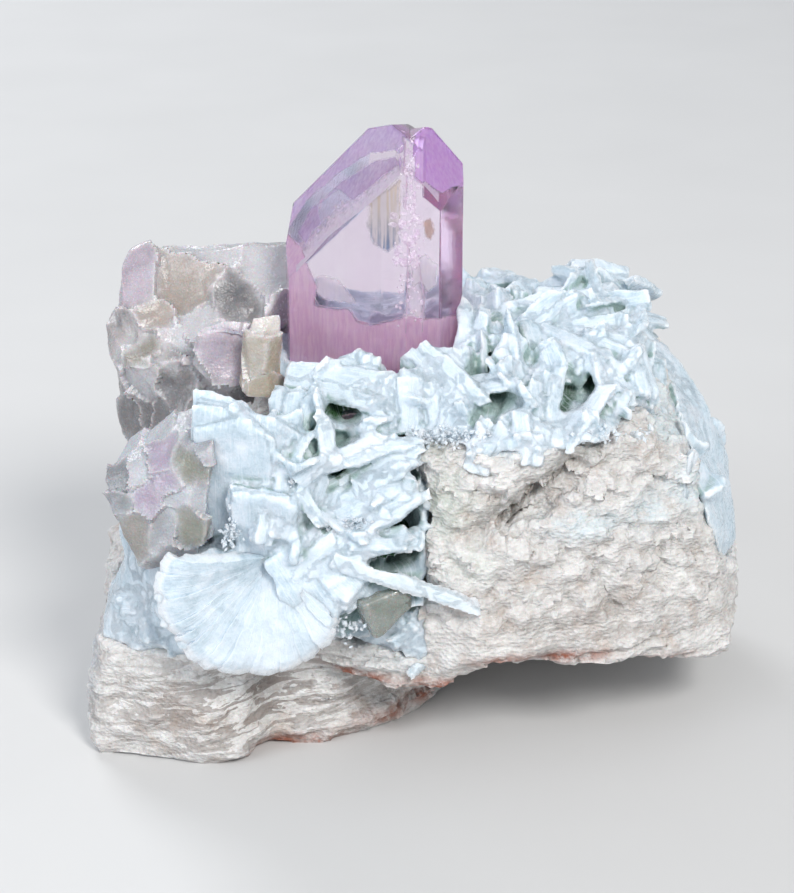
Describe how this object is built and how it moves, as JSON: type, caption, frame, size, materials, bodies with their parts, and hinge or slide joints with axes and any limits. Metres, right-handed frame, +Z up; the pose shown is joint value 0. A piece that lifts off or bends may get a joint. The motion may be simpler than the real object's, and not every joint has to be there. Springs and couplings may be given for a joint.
{
  "type": "kunzite crystal specimen",
  "caption": "Hand specimen: an upright, chisel-ended clear lilac kunzite crystal on white albite, beside smoky quartz and a crust of pale blue bladed albite.",
  "frame": {"origin": "the middle of the specimen's bounding box, seen from above, on the surface that it stands on", "axes": "+X along the specimen's width, left to right as the kunzite's broad face is seen; +Y towards its back; +Z up along the kunzite"},
  "size_m": [0.1205, 0.0789, 0.1109],
  "materials": {
    "kunzite": "clear lilac crystal, polished natural faces with fine upright striations",
    "smoky_quartz": "translucent beige-grey, glassy broken faces",
    "feldspar": "translucent cream, satin cleavage faces",
    "spodumene": "glassy broken faces, lilac and olive in grey-white",
    "cleavelandite": "pale blue-white pearly blades",
    "albite": "white, granular and matt, rust-stained along its lower edges"
  },
  "bodies": {
    "root": {"kunzite": "kunzite", "smoky_quartz": "smoky_quartz", "feldspar_crystal": "feldspar", "broken_spodumene": "spodumene", "cleavelandite_blades": "cleavelandite", "albite_matrix": "albite"}
  },
  "joints": []
}
